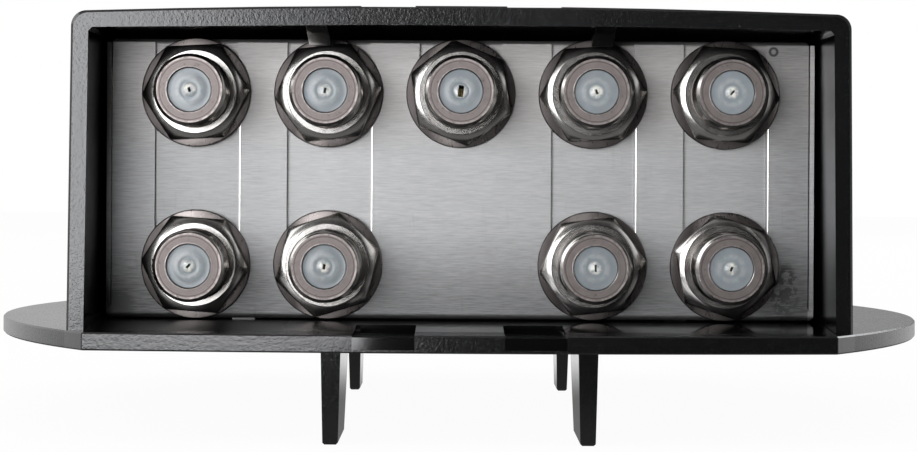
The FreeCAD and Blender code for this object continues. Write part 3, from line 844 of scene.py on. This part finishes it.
def tunnel_bed(plastic):
    """The tunnel's floor rises a little to the case; it is open over the strap slots and before them."""
    half_width, bottom, rise = 48.3, PLATE_TOP - 0.04, 0.75
    ramp_back, back = -48.7, -20.0
    slot = (STRAP_SLOT_INNER, STRAP_SLOT_OUTER)
    columns = [-half_width, -slot[1], -slot[0], slot[0], slot[1], half_width]
    rows = [MOUTH, STRAP_SLOT_FRONT, STRAP_SLOT_BACK, ramp_back, back]
    work = bmesh.new()

    def top(y):
        return PLATE_TOP + rise * min((y - MOUTH) / (ramp_back - MOUTH), 1.0)

    for left, right in zip(columns, columns[1:]):
        for near, far in zip(rows, rows[1:]):
            if {abs(left), abs(right)} == set(slot) and far <= STRAP_SLOT_BACK:
                continue
            corners = [(left, near), (right, near), (right, far), (left, far)]
            upper = [work.verts.new((x * MM, y * MM, top(y) * MM)) for x, y in corners]
            lower = [work.verts.new((x * MM, y * MM, bottom * MM)) for x, y in corners]
            work.faces.new(upper)
            work.faces.new(lower[::-1])
            for here, after in ((0, 1), (1, 2), (2, 3), (3, 0)):
                work.faces.new([lower[here], lower[after], upper[after], upper[here]])
    mesh = bpy.data.meshes.new("tunnel_bed")
    work.to_mesh(mesh)
    work.free()
    mesh.materials.append(plastic)
    made = add_object("tunnel_bed", mesh)
    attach(made, "root")


def dress():
    """Gives each solid its finish or the piece that stands for it."""
    hood, sheet, plate = hood_plastic(), brushed_sheet(), nickel_plate()
    face, insulator, spring = cut_face(), clear_insulator(), spring_metal()
    board, zinc, moulding = green_board(), zinc_plate(), chip_moulding()
    ceramic, ferrite = fired_ceramic(), dark_ferrite()
    finishes = {
        "weather_hood": hood,
        "case_pan": sheet,
        "case_frame": sheet,
        "upper_board": board,
        "lower_board": board,
        "roof_pillars": zinc,
        "board_pillars": zinc,
        "board_screws": zinc,
        "link_pins": spring,
        "link_strips": moulding,
        "coupling_capacitors": ceramic,
        "switch_chips": moulding,
        "controller_chip": moulding,
        "voltage_regulator": moulding,
        "reservoir_capacitor": zinc,
        "feed_chokes": ferrite,
        "output_choke": ferrite,
    }
    for name in SOCKET_NAMES:
        finishes["contact_" + name] = spring
        threaded_barrel(name, plate, face)
        plug(name, insulator)
    for name, material in finishes.items():
        coat_node(name, material)
    hex_nuts(plate)
    washers(washer_steel())
    slot_lips(plate)
    tunnel_bed(hood)
    soften("weather_hood", 0.3 * MM)
    soften("case_pan", 0.12 * MM)
    soften("case_frame", 0.12 * MM)


# Light, floor and camera


def pale_floor():
    """A pale floor that polished surfaces see dim before the object and brighter beside and behind it."""
    half, front = 3.0, -0.25
    mesh = bpy.data.meshes.new("floor")
    corners = [(-half, front, 0), (half, front, 0), (half, half, 0), (-half, half, 0)]
    mesh.from_pydata(corners, [], [(0, 1, 2, 3)])
    f = Finish("pale_floor")
    cloud = f.noise(3.0, 2.0)
    f.surface(Base_Color=f.mix(cloud, grey(0.88), grey(0.9)), Roughness=0.9)
    x, y, _ = f.axes()
    beside = f.ease(abs(x), 80.0, 200.0) * f.ease(y, -150.0, -50.0)
    behind = f.ease(y, 0.0, 120.0)
    mirrored = f.ease(y, -180.0, -90.0, 0.03, 0.2) + beside.at_least(behind) * 0.75
    straight, polished, through = f.seen()
    glow = f.node("Emission", sockets={"Color": f.mix(straight.at_least(mirrored), grey(0.0), grey(1.0))})
    shaded = Wire(f, f.shader.outputs[0])
    share = (straight * 0.96 + polished + through).at_most(1.0)
    blend = f.node("MixShader", sockets={0: share, 1: shaded, 2: glow})
    f.fill(f.tree.nodes["Material Output"].inputs["Surface"], blend)
    mesh.materials.append(f.material)
    add_object("floor", mesh)


def white_room():
    """White all round for the camera; polished metal sees it paler at the left and dim in front."""
    world = bpy.data.worlds.new("white_room")
    world.use_nodes = True
    bpy.context.scene.world = world
    room = Shading(world.node_tree)
    x, y, z = room.split(room.node("TexCoord", output="Generated"))
    right = room.ease(x, -0.1, 0.3)
    front = room.ease(-y, 0.45, 0.85)
    above = room.ease(z, 0.25, 0.8)
    mirrored = (0.9 - right * 0.56) * (1.0 - front * 0.98) * (1.0 - above * 0.45)
    diffuse = 0.6
    straight, polished, through = room.seen()
    share = (polished + through).at_most(1.0)
    level = straight + (1.0 - straight) * (share * mirrored + (1.0 - share) * diffuse)
    background = room.tree.nodes["Background"]
    room.fill(background.inputs["Color"], grey(1.0))
    room.fill(background.inputs["Strength"], level)


def soft_lamp(name, place, size, power):
    """A square lamp that faces the middle of the object and stays out of the picture."""
    light = bpy.data.lights.new(name, "AREA")
    light.shape = "SQUARE"
    light.size = size
    light.energy = power
    light.color = (0.97, 0.98, 1.0)
    made = add_object(name, light)
    made.location = place
    made.visible_camera = False
    middle = Vector((0, 0, 0.03))
    made.rotation_euler = (middle - Vector(place)).to_track_quat("-Z", "Y").to_euler()


def camera():
    data = bpy.data.cameras.new("camera")
    data.lens = CAMERA_LENS
    data.shift_x = CAMERA_SHIFT_X
    data.shift_y = CAMERA_SHIFT_Y
    made = add_object("camera", data)
    level = Matrix.Rotation(math.radians(90), 4, "X")
    roll = Matrix.Rotation(CAMERA_ROLL, 4, "Z")
    made.matrix_world = Matrix.Translation(CAMERA_PLACE) @ level @ roll
    bpy.context.scene.camera = made


dress()
pale_floor()
white_room()
soft_lamp("left_window", (-0.9, -0.4, 0.6), 0.8, 5.0)
soft_lamp("near_panel", (-0.325, -0.75, 0.03), 0.5, 6.1)
soft_lamp("back_fill", (0.7, 1.1, 0.8), 0.9, 6.0)
soft_lamp("right_fill", (0.9, -0.8, 0.5), 0.7, 1.5)
camera()
bpy.context.scene.view_settings.view_transform = "Standard"
